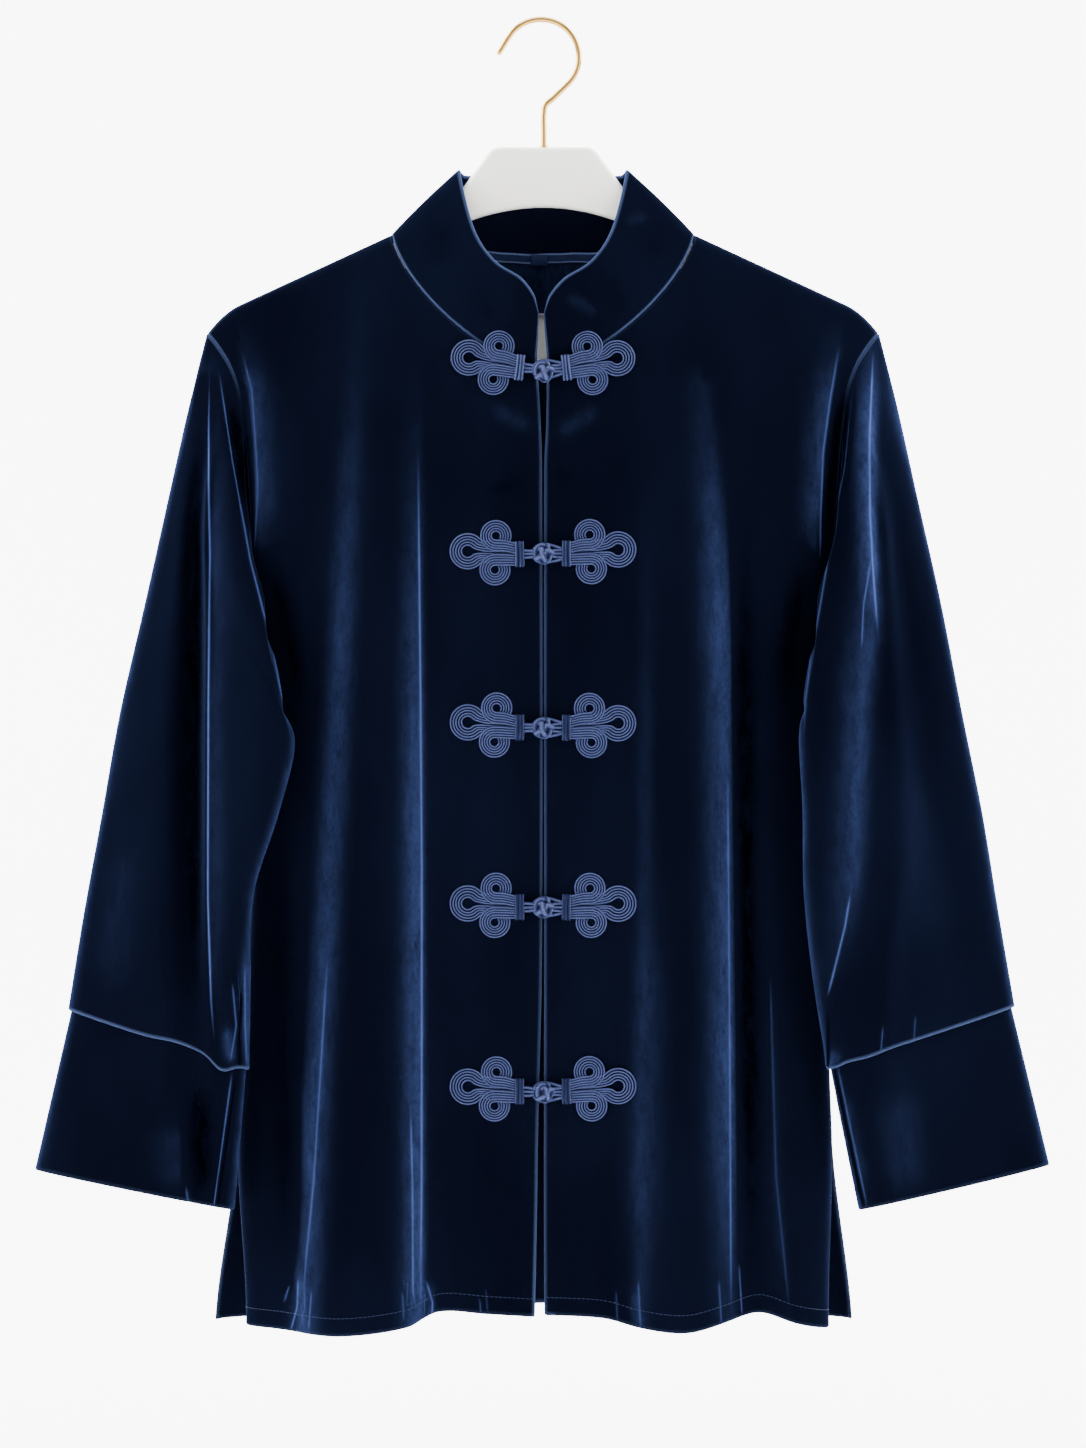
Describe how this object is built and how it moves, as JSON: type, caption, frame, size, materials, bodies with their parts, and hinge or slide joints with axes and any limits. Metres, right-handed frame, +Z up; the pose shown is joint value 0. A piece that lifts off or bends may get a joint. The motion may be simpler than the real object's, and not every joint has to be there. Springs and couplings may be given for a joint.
{
  "type": "velvet stand-collar jacket on a hanger",
  "caption": "Velvet jacket with a stand collar, long cuffed sleeves, knot-and-loop front closures and side vents, hanging open-necked on a smooth hanger with a wire hook.",
  "frame": {"origin": "underside of the hook's crown, where a rail carries the hanger", "axes": "+Z up, the jacket's front faces -Y, +X to the viewer's right when looking at the front"},
  "size_m": [0.649, 0.1189, 0.8389],
  "materials": {
    "velvet": "dark navy cut-pile velvet with a blue sheen at grazing angles",
    "cord": "slate-blue satin rat-tail cord",
    "tape": "navy woven tape",
    "white_label": "plain white woven satin, blank",
    "ivory": "smooth satin ivory",
    "brass_wire": "polished brass-coloured wire"
  },
  "bodies": {
    "root": {"front_left": "velvet", "front_right": "velvet", "back": "velvet", "collar": "velvet", "sleeve_left": "velvet", "sleeve_right": "velvet", "cuff_left": "velvet", "cuff_right": "velvet", "frog_1_left": "cord", "frog_1_right": "cord", "knot_1": "cord", "frog_2_left": "cord", "frog_2_right": "cord", "knot_2": "cord", "frog_3_left": "cord", "frog_3_right": "cord", "knot_3": "cord", "frog_4_left": "cord", "frog_4_right": "cord", "knot_4": "cord", "frog_5_left": "cord", "frog_5_right": "cord", "knot_5": "cord", "neck_tape": "tape", "hanging_loop": "tape", "label": "white_label", "hanger": "ivory", "hook": "brass_wire"}
  },
  "joints": []
}
